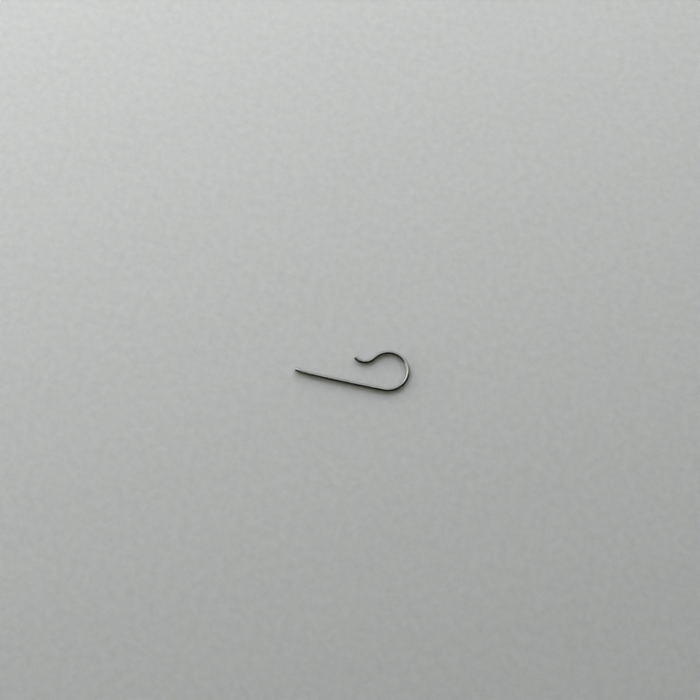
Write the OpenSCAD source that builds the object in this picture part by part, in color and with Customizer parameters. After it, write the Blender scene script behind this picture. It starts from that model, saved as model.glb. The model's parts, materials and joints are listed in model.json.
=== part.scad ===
// Date jumper spring: one length of round spring wire, bent to shape in one plane.
// The wire starts at a short working tip, runs along a slightly bowed leg, turns round an almost
// closed loop and ends in a small hook that curves the other way.
// Sizes are in millimetres. The origin is the loop's centre on the plane that the wire lies on,
// the leg runs towards -X, the hook is on the +Y side and +Z is up, away from that plane.

/* [Wire] */
// Diameter of the round spring wire
wire_d = 0.20; // [0.16:0.01:0.28]
// Width of the broken edge round each cut end
end_break = 0.02; // [0.01:0.005:0.05]

/* [Leg] */
// Length of the leg along the wire, from the loop to the bend at the tip
leg_length = 3.98; // [3:0.01:5]
// Angle that the leg bows through over its length
leg_bow = 3; // [1:0.5:8]
// Length of the straight working tip
tip_length = 0.28; // [0.15:0.01:0.6]
// Angle that the tip is set away from the leg
tip_set = 12; // [2:1:25]
// Radius of the wire's centreline where the tip is set
tip_bend_r = 0.38; // [0.25:0.01:0.8]

/* [Loop] */
// Radius of the wire's centreline round the loop's first part, next to the leg
loop_r = 0.96; // [0.8:0.01:1.2]
// Angle turned at that radius
loop_turn = 160; // [140:1:180]
// Radius of the centreline as the loop closes in towards the hook
closing_r = 0.90; // [0.7:0.01:1.1]
// Angle turned as the loop closes in
closing_turn = 72; // [40:1:80]

/* [Hook] */
// Length of the straight run where the curve changes sides
cross_length = 0.20; // [0.05:0.01:0.3]
// Radius of the wire's centreline round the hook
hook_r = 0.56; // [0.35:0.01:0.7]
// Angle that the hook turns back through
hook_turn = 96; // [60:1:110]

/* [Hidden] */
// sides of the wire's round section, a multiple of four so that joined sections meet corner to corner
wire_sides = 32;
// largest angle between neighbouring sections along a curve, in degrees
section_step = 4;
// fewest sections along a curve, which keeps the slightly bowed leg smooth
fewest_sections = 12;
// the path is laid out at this fraction of full size and enlarged once at the end, so that rounded
// positions leave no gap or overlap between the end faces of neighbouring lengths
layout = 0.01;
// the leg's chord lies along X, so the leg meets the loop at half of its bow
leg_exit = leg_bow/2;
// radius of the leg's gentle bow
leg_r = leg_length*180/(PI*leg_bow);

// Wire section: the disc that every run and curve carries along the centreline.
module section() {
    circle(d = wire_d*layout, $fn = wire_sides);
}

// Straight wire from the origin along +X; the children continue from its far end.
module run(length) {
    far = length*layout;
    rotate([0, 90, 0]) linear_extrude(far) section();
    translate([far, 0, 0]) children();
}

// Curved wire that leaves the origin along +X and bends left through turn degrees, or right when
// turn is negative; the children continue from its far end, in the direction it has there.
module curve(radius, turn) {
    r = radius*layout;
    sweep = abs(turn);
    sections = max(fewest_sections, ceil(sweep/section_step));
    mirror([0, turn > 0 ? 0 : 1, 0])
        translate([0, r, 0])
            rotate([0, 0, -90])
                rotate_extrude(angle = sweep, $fn = ceil(sections*360/sweep))
                    translate([r, 0]) section();
    translate([r*sin(sweep), sign(turn)*r*(1 - cos(sweep)), 0])
        rotate([0, 0, turn]) children();
}

// Cut end of the wire: a flat face with its rim broken all round.
module cut_end() {
    rotate([0, 90, 0])
        cylinder(
            h = end_break*layout,
            d1 = wire_d*layout,
            d2 = (wire_d - 2*end_break)*layout,
            $fn = wire_sides
        );
}

// Leg: away from the loop it bows gently, then a small bend sets the straight working tip.
module leg() {
    curve(leg_r, -leg_bow)
        curve(tip_bend_r, -tip_set)
            run(tip_length - end_break)
                cut_end();
}

// Loop and hook: the loop closes in a little, then the wire crosses over and turns back as a hook.
module loop_and_hook() {
    curve(loop_r, loop_turn)
        curve(closing_r, closing_turn)
            run(cross_length)
                curve(hook_r, -hook_turn)
                    cut_end();
}

// Spring wire: both halves of the path start where the leg meets the loop, in opposite directions.
module spring_wire() {
    color([0.36, 0.36, 0.37])
        scale(1/layout)
            translate([0, 0, wire_d*layout/2])
                rotate([0, 0, leg_exit])
                    translate([0, -loop_r*layout, 0]) {
                        loop_and_hook();
                        rotate([0, 0, 180]) leg();
                    }
}

spring_wire();
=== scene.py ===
"""Date jumper spring: one bent length of drawn spring wire, lying on a pale floor."""
import json
import math

import bpy
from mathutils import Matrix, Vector

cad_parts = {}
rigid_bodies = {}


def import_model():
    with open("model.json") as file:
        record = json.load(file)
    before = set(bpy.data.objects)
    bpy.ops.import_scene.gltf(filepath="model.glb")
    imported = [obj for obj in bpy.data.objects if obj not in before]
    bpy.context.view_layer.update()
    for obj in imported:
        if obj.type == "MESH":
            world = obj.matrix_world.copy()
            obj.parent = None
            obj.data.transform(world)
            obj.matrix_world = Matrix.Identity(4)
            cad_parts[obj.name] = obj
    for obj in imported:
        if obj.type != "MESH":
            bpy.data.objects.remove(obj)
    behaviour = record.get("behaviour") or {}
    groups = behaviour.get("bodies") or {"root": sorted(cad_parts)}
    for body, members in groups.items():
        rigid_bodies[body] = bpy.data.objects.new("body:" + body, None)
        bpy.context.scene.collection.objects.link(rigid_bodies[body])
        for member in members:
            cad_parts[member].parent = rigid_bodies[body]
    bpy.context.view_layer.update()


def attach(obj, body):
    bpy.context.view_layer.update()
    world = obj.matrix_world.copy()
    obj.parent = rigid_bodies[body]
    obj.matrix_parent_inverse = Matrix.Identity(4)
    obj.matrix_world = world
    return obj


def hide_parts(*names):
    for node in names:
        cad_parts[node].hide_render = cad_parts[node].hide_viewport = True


MM = 0.001              # the wire is modelled in millimetres and brought to metres at the end
UP = Vector((0.0, 0.0, 1.0))

# the wire's sizes, as the solid model has them
WIRE_R = 0.10
END_BREAK = 0.02
TIP_LENGTH = 0.28
TIP_BEND_R = 0.38
TIP_SET = 12.0
LEG_LENGTH = 3.98
LEG_BOW = 3.0
LOOP_R = 0.96
LOOP_TURN = 160.0
CLOSING_R = 0.90
CLOSING_TURN = 72.0
CROSS_LENGTH = 0.20
HOOK_R = 0.56
HOOK_TURN = 96.0
LEG_R = LEG_LENGTH / math.radians(LEG_BOW)

# the way along the wire from the tip to the hook: a length with no turn, or a radius and its turn
PATH = [
    (TIP_LENGTH, 0.0),
    (TIP_BEND_R, TIP_SET),
    (LEG_R, LEG_BOW),
    (LOOP_R, LOOP_TURN),
    (CLOSING_R, CLOSING_TURN),
    (CROSS_LENGTH, 0.0),
    (HOOK_R, -HOOK_TURN),
]

# fineness of the wire's mesh
RING_SIDES = 64
SECTION_STEP = 2.0      # degrees between neighbouring sections along a curve
LEAST_SECTIONS = 10     # on any curve
RIM_SEGMENTS = 4
RIM_PROFILE = 0.5       # round
SMOOTH_BELOW = math.radians(40.0)
MERGE_WITHIN = 1e-6     # mm
SECTION_MISS = 0.01     # how far off its section a vertex may lie, in wire radii
WIRE_REACH = 1.2        # how far across from the centreline a point may lie, in wire radii

# the camera: the photograph's angle, aim and reach
VIEW_TURN = 13.0        # degrees that the view is turned from looking along +Y
VIEW_ELEVATION = 68.0
AIM = Vector((-2.013, 0.704, 0.0)) * MM
VIEW_DISTANCE = 67.34 * MM
LENS = 72.0
SENSOR = 36.0

# plain soft panels: (name, degrees clockwise from straight ahead of the camera, elevation,
# half angles that the panel covers across and up, brightness)
PANELS = [
    ("panel_ahead", 5.0, 33.0, 50.0, 33.0, 2.07),
    ("panel_left", -67.0, 12.0, 36.0, 11.5, 3.3),
    ("small_panel", -48.0, 58.0, 16.0, 14.0, 3.9),
]
PANEL_DISTANCE = 0.10
SKY_ZENITH = 0.01
SKY_HORIZON = 0.03
SKY_BAND = 0.3          # height over which the room changes from the one to the other
FLOOR_SIZE = 3.0
NEAR_CLIP = VIEW_DISTANCE / 50

# finishes: colours, then sizes in features per millimetre along, across and up from the wire
STEEL_DARK = (0.135, 0.136, 0.129, 1.0)
STEEL_LIGHT = (0.272, 0.273, 0.261, 1.0)
STEEL_RUBBED = (0.32, 0.318, 0.311, 1.0)
STEEL_ROUGHNESS = (0.15, 0.25)
LINE_SPREAD = (0.32, 0.68)      # noise values of the darkest and the lightest line
LINE_DETAIL = 2.5
LINE_GRAIN = 0.6
STREAK_SCALE = (0.55, 26.0, 26.0)
FINE_SCALE = (2.0, 85.0, 85.0)
SCORE_SCALE = (0.35, 48.0, 48.0)
SCORE_COLOUR = (0.07, 0.068, 0.065, 1.0)
SCORE_SHARE = 0.7
SCORE_SPREAD = (0.66, 0.72)     # noise values where a score starts and where it is whole
SCORE_DETAIL = 1.0
BROAD_HEIGHT = 0.6
FINE_HEIGHT = 0.4
SCORE_HEIGHT = 0.8
LINE_DEPTH = 0.0012 * MM
BURNISHED = (0.36, 0.358, 0.351, 1.0)
BURNISH_SHARE = 0.55
BURNISH_ROUGHNESS = 0.12
BURNISH_FADE = 0.15     # mm
BURNISH_REACH = (WIRE_R * 0.78, WIRE_R * 0.97)  # from the centreline, where it starts and is whole
BURNISH_CLOUDED = (0.0, 0.6, 0.45, 1.0)         # clouds 0 to 0.6 leave 0.45 to all of it
CLOUD_SCALE = 2.2
CLOUD_SPREAD = (0.32, 0.68)
STAIN_SCALE = 5.0
STAIN_SPREAD = (0.60, 0.72)
STAIN_COLOUR = (0.13, 0.11, 0.09, 1.0)
STAIN_SHARE = 0.6
STAIN_ROUGHNESS = 0.15
RUBBED_SHARE = 0.35
RUBBED_REACH = (TIP_LENGTH * 1.4, TIP_LENGTH * 0.4)   # from the tip, where it starts and is whole
STONED_DARK = (0.42, 0.41, 0.40, 1.0)
STONED_LIGHT = (0.58, 0.57, 0.56, 1.0)
STONED_ROUGHNESS = (0.22, 0.36)
STONE_TURN = (0.0, 0.0, math.radians(12.0))
STONE_BROAD = (45.0, 3.0, 3.0)
STONE_FINE = (150.0, 8.0, 8.0)
STONE_DEPTH = 0.001 * MM
PAPER_DARK = (0.477, 0.490, 0.482, 1.0)
PAPER_LIGHT = (0.556, 0.569, 0.561, 1.0)
PAPER_SCALE = 2500.0    # in features per metre
PAPER_RELIEF = 0.004 * MM
PAPER_SPREAD = (0.25, 0.75)
PAPER_ROUGHNESS = 0.85
PAPER_SCATTER = 1.15 * MM
PAPER_SCATTER_COLOUR = (1.0, 1.0, 0.75)   # blue light is scattered least far


# The way along the wire.

def turned(heading):
    """Unit vector in the spring's plane at a heading in degrees."""
    a = math.radians(heading)
    return Vector((math.cos(a), math.sin(a), 0.0))


def after_length(point, heading, size, turn):
    """Where a length of the path ends, the heading there, and a curve's centre."""
    if not turn:
        return point + turned(heading) * size, heading, None
    side = math.copysign(90.0, turn)
    centre = point + turned(heading + side) * size
    return centre + turned(heading + turn - side) * size, heading + turn, centre


def wire_taken(size, turn):
    """How much wire a length of the path takes."""
    return size * math.radians(abs(turn)) if turn else size


def tip_start():
    """Place and heading of the tip's cut end, followed back from where the leg meets the loop."""
    back = LEG_BOW / 2 + 180.0
    point = turned(LEG_BOW / 2 - 90.0) * LOOP_R
    for size, turn in reversed(PATH[:3]):
        point, back, _ = after_length(point, back, size, -turn)
    return point + UP * WIRE_R, back - 180.0


def wire_lengths():
    """Each length of the path, as start, heading there, size, turn, centre and distance from the
    tip, and then the place and heading of the hook's end."""
    point, heading = tip_start()
    lengths, run = [], 0.0
    for size, turn in PATH:
        end, after, centre = after_length(point, heading, size, turn)
        lengths.append((point, heading, size, turn, centre, run))
        run += wire_taken(size, turn)
        point, heading = end, after
    return lengths, (point, heading)


# Modelling the wire.

def select_section(wire, point, heading):
    """Selects the vertices of the wire that lie in its section at a point."""
    bpy.ops.mesh.select_all(action="DESELECT")
    bpy.ops.object.mode_set(mode="OBJECT")
    along = turned(heading)
    for v in wire.data.vertices:
        off = v.co - point
        v.select = (abs(off.dot(along)) < WIRE_R * SECTION_MISS
                    and off.length < WIRE_R * (1 + SECTION_MISS))
    bpy.ops.object.mode_set(mode="EDIT")
    bpy.ops.mesh.select_mode(type="VERT")


def bend_wire(lengths):
    """A ring is set at the tip, then run straight and spun round each curve up to the hook's end."""
    point, heading = lengths[0][:2]
    bpy.ops.object.select_all(action="DESELECT")
    bpy.ops.mesh.primitive_circle_add(
        vertices=RING_SIDES, radius=WIRE_R, fill_type="NOTHING", location=point,
        rotation=(0.0, math.pi / 2, math.radians(heading)))
    wire = bpy.context.object
    wire.name = wire.data.name = "bent_wire"
    bpy.ops.object.transform_apply(location=True, rotation=True, scale=True)
    bpy.ops.object.mode_set(mode="EDIT")
    bpy.ops.mesh.select_mode(type="VERT")
    bpy.ops.mesh.select_all(action="SELECT")
    for _, heading, size, turn, centre, _ in lengths:
        if turn:
            bpy.ops.mesh.spin(
                steps=max(LEAST_SECTIONS, math.ceil(abs(turn) / SECTION_STEP)),
                angle=math.radians(abs(turn)), center=centre,
                axis=(0.0, 0.0, -math.copysign(1.0, turn)))
        else:
            bpy.ops.mesh.extrude_region_move(
                TRANSFORM_OT_translate={"value": turned(heading) * size})
    return wire


def cap_end(wire, point, heading):
    """Closes a cut end of the wire and rounds its rim over the width of the broken edge."""
    select_section(wire, point, heading)
    bpy.ops.mesh.edge_face_add()
    bpy.ops.mesh.bevel(
        offset=END_BREAK, segments=RIM_SEGMENTS, profile=RIM_PROFILE, affect="EDGES",
        clamp_overlap=False)


def close_wire(wire):
    """Merges doubled vertices, turns the faces outwards and smooths all but the sharp rims."""
    bpy.ops.mesh.select_all(action="SELECT")
    bpy.ops.mesh.remove_doubles(threshold=MERGE_WITHIN)
    bpy.ops.mesh.normals_make_consistent(inside=False)
    bpy.ops.object.mode_set(mode="OBJECT")
    bpy.ops.object.shade_smooth_by_angle(angle=SMOOTH_BELOW)


def along_wire(point, lengths):
    """A point of the wire as it lay before bending: (distance from the tip, across, up)."""
    best = None
    for start, heading, size, turn, centre, run in lengths:
        if turn:
            side = math.copysign(1.0, turn)
            arm = point - centre
            arm.z = 0.0
            from_start = turned(heading - 90.0 * side)
            angle = side * math.atan2(from_start.cross(arm).z, from_start.dot(arm))
            whole = math.radians(abs(turn))
            inside = min(max(angle, 0.0), whole)
            miss = abs(angle - inside) * size
            distance, across = size * angle, side * (size - arm.length)
        else:
            off = point - start
            distance = off.dot(turned(heading))
            across = off.dot(turned(heading + 90.0))
            inside = min(max(distance, 0.0), size)
            miss = abs(distance - inside)
        if abs(across) > WIRE_R * WIRE_REACH:
            continue
        if best is None or miss < best[0]:
            best = (miss, run + distance, across)
    return Vector((best[1], best[2], point.z - WIRE_R))


def keep_drawn_place(wire, lengths):
    """Stores each vertex's place on the straight wire, so that drawing lines follow every bend."""
    drawn = wire.data.attributes.new("drawn_place", "FLOAT_VECTOR", "POINT")
    for v, item in zip(wire.data.vertices, drawn.data):
        item.vector = along_wire(v.co, lengths)


# The finishes.

def feed(tree, made, inputs):
    """Sets a node's inputs, or joins them to other outputs."""
    for name, value in inputs.items():
        if isinstance(value, bpy.types.NodeSocket):
            tree.links.new(value, made.inputs[name])
        else:
            made.inputs[name].default_value = value


def node(tree, kind, inputs, **settings):
    """A shader node with its settings made and its inputs fed."""
    made = tree.nodes.new("ShaderNode" + kind)
    for name, value in settings.items():
        setattr(made, name, value)
    feed(tree, made, inputs)
    return made


def spread(tree, value, low, high, to_low=0.0, to_high=1.0):
    """Maps low..high onto to_low..to_high, held at both ends."""
    return node(tree, "MapRange", {
        "Value": value, "From Min": low, "From Max": high,
        "To Min": to_low, "To Max": to_high}).outputs["Result"]


def arithmetic(tree, operation, a, b):
    """One arithmetic step on two numbers or outputs."""
    return node(tree, "Math", {0: a, 1: b}, operation=operation).outputs[0]


def product(tree, a, b):
    """Two numbers or outputs multiplied."""
    return arithmetic(tree, "MULTIPLY", a, b)


def blended(tree, share, a, b):
    """A colour between a and b, which are the colour sockets 6 and 7 of a Mix node."""
    return node(tree, "Mix", {0: share, 6: a, 7: b}, data_type="RGBA").outputs[2]


def effect(name, inputs, outputs):
    """An empty node group with named number and vector inputs and number outputs."""
    group = bpy.data.node_groups.new(name, "ShaderNodeTree")
    for socket, kind in inputs:
        group.interface.new_socket(socket, in_out="INPUT", socket_type=kind)
    for socket in outputs:
        group.interface.new_socket(socket, in_out="OUTPUT", socket_type="NodeSocketFloat")
    return group, group.nodes.new("NodeGroupInput").outputs, group.nodes.new("NodeGroupOutput").inputs


def drawing_lines():
    """Fine lines along X of their place: broad streaks, finer ones in them and a few deep scores."""
    group, given, out = effect(
        "drawing_lines",
        [("Place", "NodeSocketVector"), ("Broad", "NodeSocketVector"), ("Fine", "NodeSocketVector"),
         ("Scored", "NodeSocketVector")],
        ["Streaks", "Scores", "Height"])

    def stretched(name, detail, spreads):
        place = node(group, "VectorMath", {0: given["Place"], 1: given[name]}, operation="MULTIPLY")
        lines = node(group, "TexNoise", {
            "Vector": place.outputs[0], "Scale": 1.0, "Detail": detail, "Roughness": LINE_GRAIN})
        return spread(group, lines.outputs["Fac"], *spreads)

    broad = stretched("Broad", LINE_DETAIL, LINE_SPREAD)
    fine = stretched("Fine", LINE_DETAIL, LINE_SPREAD)
    scores = stretched("Scored", SCORE_DETAIL, SCORE_SPREAD)
    height = arithmetic(group, "ADD", product(group, broad, BROAD_HEIGHT),
                        product(group, fine, FINE_HEIGHT))
    height = arithmetic(group, "SUBTRACT", height, product(group, scores, SCORE_HEIGHT))
    group.links.new(broad, out["Streaks"])
    group.links.new(scores, out["Scores"])
    group.links.new(height, out["Height"])
    return group


def bend_burnish():
    """Where a bending pin slid: one side of a stretch of the wire, fading out at its ends."""
    group, given, out = effect(
        "bend_burnish",
        [("Place", "NodeSocketVector"), ("From", "NodeSocketFloat"), ("To", "NodeSocketFloat"),
         ("Side", "NodeSocketFloat")],
        ["Burnish"])
    place = node(group, "SeparateXYZ", {"Vector": given["Place"]}).outputs
    entering = spread(group, arithmetic(group, "SUBTRACT", place[0], given["From"]), 0.0, BURNISH_FADE)
    leaving = spread(group, arithmetic(group, "SUBTRACT", given["To"], place[0]), 0.0, BURNISH_FADE)
    inner = spread(group, product(group, place[1], given["Side"]), *BURNISH_REACH)
    group.links.new(product(group, inner, product(group, entering, leaving)), out["Burnish"])
    return group


def handling():
    """Soft clouding of the surface, and small scattered stains."""
    group, given, out = effect(
        "handling",
        [("Place", "NodeSocketVector"), ("Cloud Scale", "NodeSocketFloat"),
         ("Stain Scale", "NodeSocketFloat")],
        ["Clouds", "Stains"])
    clouds = node(group, "TexNoise", {
        "Vector": given["Place"], "Scale": given["Cloud Scale"], "Detail": 3.0, "Roughness": 0.55})
    stains = node(group, "TexNoise", {
        "Vector": given["Place"], "Scale": given["Stain Scale"], "Detail": 4.0, "Roughness": 0.65,
        "Distortion": 0.6})
    group.links.new(spread(group, clouds.outputs["Fac"], *CLOUD_SPREAD), out["Clouds"])
    group.links.new(spread(group, stains.outputs["Fac"], *STAIN_SPREAD), out["Stains"])
    return group


def placed(tree, group, inputs):
    """A node group put in a material with its own values; gives its outputs."""
    made = tree.nodes.new("ShaderNodeGroup")
    made.node_tree = group
    feed(tree, made, inputs)
    return made.outputs


def new_finish(name):
    """An empty node material with its Principled shader; gives the material, tree and shader."""
    material = bpy.data.materials.new(name)
    material.use_nodes = True
    return material, material.node_tree, material.node_tree.nodes["Principled BSDF"]


def bent_stretches(lengths):
    """Each curve that a pin formed: where it starts and ends along the wire, and its inner side."""
    return [(run - BURNISH_FADE, run + wire_taken(size, turn) + BURNISH_FADE, math.copysign(1.0, turn))
            for _, _, size, turn, _, run in lengths if turn and size < LEG_R]


def drawn_steel(lines, marks, burnish, lengths):
    """Hard drawn spring steel: dark and bright, with lines along the wire that follow its bends."""
    material, tree, shader = new_finish("drawn_spring_steel")
    place = node(tree, "Attribute", {}, attribute_name="drawn_place").outputs["Vector"]
    along = node(tree, "SeparateXYZ", {"Vector": place}).outputs[0]
    line = placed(tree, lines, {
        "Place": place, "Broad": STREAK_SCALE, "Fine": FINE_SCALE, "Scored": SCORE_SCALE})
    mark = placed(tree, marks, {
        "Place": place, "Cloud Scale": CLOUD_SCALE, "Stain Scale": STAIN_SCALE})
    polished = 0.0
    for start, end, side in bent_stretches(lengths):
        one = placed(tree, burnish, {"Place": place, "From": start, "To": end, "Side": side})
        polished = arithmetic(tree, "MAXIMUM", polished, one["Burnish"])
    polished = product(tree, polished, spread(tree, mark["Clouds"], *BURNISH_CLOUDED))
    colour = blended(tree, line["Streaks"], STEEL_DARK, STEEL_LIGHT)
    colour = blended(tree, product(tree, line["Scores"], SCORE_SHARE), colour, SCORE_COLOUR)
    colour = blended(tree, product(tree, polished, BURNISH_SHARE), colour, BURNISHED)
    colour = blended(tree, product(tree, mark["Stains"], STAIN_SHARE), colour, STAIN_COLOUR)
    rubbed = spread(tree, along, *RUBBED_REACH)
    colour = blended(tree, product(tree, rubbed, RUBBED_SHARE), colour, STEEL_RUBBED)
    tree.links.new(colour, shader.inputs["Base Color"])
    shader.inputs["Metallic"].default_value = 1.0
    rough = spread(tree, mark["Clouds"], 0.0, 1.0, *STEEL_ROUGHNESS)
    rough = arithmetic(tree, "ADD", rough, product(tree, mark["Stains"], STAIN_ROUGHNESS))
    rough = spread(tree, polished, 0.0, 1.0, rough, BURNISH_ROUGHNESS)
    tree.links.new(rough, shader.inputs["Roughness"])
    bump = node(tree, "Bump", {
        "Height": line["Height"], "Strength": 1.0, "Distance": LINE_DEPTH})
    tree.links.new(bump.outputs["Normal"], shader.inputs["Normal"])
    return material


def stoned_end(lines, marks):
    """The wire's cut ends: brighter bare steel with the scratches of the stone across them."""
    material, tree, shader = new_finish("stoned_end_steel")
    place = node(tree, "TexCoord", {}).outputs["Object"]
    place = node(tree, "Mapping", {
        "Vector": place, "Rotation": STONE_TURN, "Scale": (1 / MM,) * 3}).outputs["Vector"]
    line = placed(tree, lines, {
        "Place": place, "Broad": STONE_BROAD, "Fine": STONE_FINE, "Scored": STONE_FINE})
    mark = placed(tree, marks, {
        "Place": place, "Cloud Scale": CLOUD_SCALE, "Stain Scale": STAIN_SCALE})
    colour = blended(tree, line["Streaks"], STONED_DARK, STONED_LIGHT)
    colour = blended(tree, product(tree, mark["Stains"], STAIN_SHARE), colour, STAIN_COLOUR)
    tree.links.new(colour, shader.inputs["Base Color"])
    shader.inputs["Metallic"].default_value = 1.0
    tree.links.new(spread(tree, mark["Clouds"], 0.0, 1.0, *STONED_ROUGHNESS),
                   shader.inputs["Roughness"])
    bump = node(tree, "Bump", {
        "Height": line["Height"], "Strength": 1.0, "Distance": STONE_DEPTH})
    tree.links.new(bump.outputs["Normal"], shader.inputs["Normal"])
    return material


def pale_paper():
    """Matt pale grey floor with faint mottle, which lets a little light through as paper does."""
    material, tree, shader = new_finish("pale_floor")
    place = node(tree, "TexCoord", {}).outputs["Object"]
    mottle = node(tree, "TexNoise", {
        "Vector": place, "Scale": PAPER_SCALE, "Detail": 4.0, "Roughness": 0.7}).outputs["Fac"]
    tree.links.new(blended(tree, spread(tree, mottle, *PAPER_SPREAD), PAPER_DARK, PAPER_LIGHT),
                   shader.inputs["Base Color"])
    shader.inputs["Roughness"].default_value = PAPER_ROUGHNESS
    shader.inputs["Subsurface Weight"].default_value = 1.0
    shader.inputs["Subsurface Radius"].default_value = PAPER_SCATTER_COLOUR
    shader.inputs["Subsurface Scale"].default_value = PAPER_SCATTER
    bump = node(tree, "Bump", {"Height": mottle, "Strength": 1.0, "Distance": PAPER_RELIEF})
    tree.links.new(bump.outputs["Normal"], shader.inputs["Normal"])
    return material


# The scene round the spring.

def clear_start_scene():
    """Removes what Blender starts with."""
    bpy.ops.object.select_all(action="SELECT")
    bpy.ops.object.delete()


def aimed(point, target):
    """Rotation that points an object's -Z from a point to a target."""
    return (target - point).to_track_quat("-Z", "Y").to_euler()


def from_aim(turn, elevation, distance):
    """A place seen from the aim: degrees clockwise from straight ahead of the camera, and height."""
    flat = turned(90.0 + VIEW_TURN - turn) * math.cos(math.radians(elevation))
    return AIM + (flat + UP * math.sin(math.radians(elevation))) * distance


def set_camera():
    """The camera at the photograph's angle, looking at the aim."""
    place = from_aim(180.0, VIEW_ELEVATION, VIEW_DISTANCE)
    bpy.ops.object.camera_add(location=place, rotation=aimed(place, AIM))
    camera = bpy.context.object
    camera.name = "camera"
    camera.data.lens = LENS
    camera.data.sensor_width = SENSOR
    camera.data.clip_start = NEAR_CLIP
    camera.data.clip_end = FLOOR_SIZE * 2
    bpy.context.scene.camera = camera


def set_panels():
    """Soft light panels, each as bright as it is seen to be from the wire."""
    for name, turn, elevation, half_across, half_up, brightness in PANELS:
        place = from_aim(turn, elevation, PANEL_DISTANCE)
        bpy.ops.object.light_add(type="AREA", location=place, rotation=aimed(place, AIM))
        panel = bpy.context.object
        panel.name = name
        panel.data.shape = "RECTANGLE"
        panel.data.size = 2 * PANEL_DISTANCE * math.tan(math.radians(half_across))
        panel.data.size_y = 2 * PANEL_DISTANCE * math.tan(math.radians(half_up))
        panel.data.energy = brightness * math.pi * panel.data.size * panel.data.size_y


def set_sky():
    """A dim plain room, paler low down."""
    world = bpy.data.worlds.new("room")
    bpy.context.scene.world = world
    world.use_nodes = True
    tree = world.node_tree
    place = node(tree, "TexCoord", {}).outputs["Generated"]
    height = node(tree, "SeparateXYZ", {"Vector": place}).outputs[2]
    strength = spread(tree, height, 0.0, SKY_BAND, SKY_HORIZON, SKY_ZENITH)
    tree.links.new(strength, tree.nodes["Background"].inputs["Strength"])
    tree.nodes["Background"].inputs["Color"].default_value = (1.0, 1.0, 1.0, 1.0)


def lay_floor():
    """The plain floor that the spring lies on, kept out of the part."""
    bpy.ops.mesh.primitive_plane_add(size=FLOOR_SIZE)
    floor = bpy.context.object
    floor.name = floor.data.name = "floor"
    floor.data.materials.append(pale_paper())


def main():
    clear_start_scene()
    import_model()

    lengths, hook_end = wire_lengths()
    wire = bend_wire(lengths)
    cap_end(wire, *lengths[0][:2])
    cap_end(wire, *hook_end)
    close_wire(wire)
    keep_drawn_place(wire, lengths)

    lines, marks = drawing_lines(), handling()
    wire.data.materials.append(drawn_steel(lines, marks, bend_burnish(), lengths))
    wire.data.materials.append(stoned_end(lines, marks))
    for face in wire.data.polygons:
        face.material_index = int(len(face.vertices) > 4)   # only the cut ends have more corners
    wire.scale = (MM,) * 3
    bpy.ops.object.transform_apply(location=True, rotation=True, scale=True)
    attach(wire, "root")
    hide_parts("spring_wire")

    lay_floor()
    set_panels()
    set_sky()
    set_camera()
    bpy.context.scene.view_settings.view_transform = "Standard"


main()
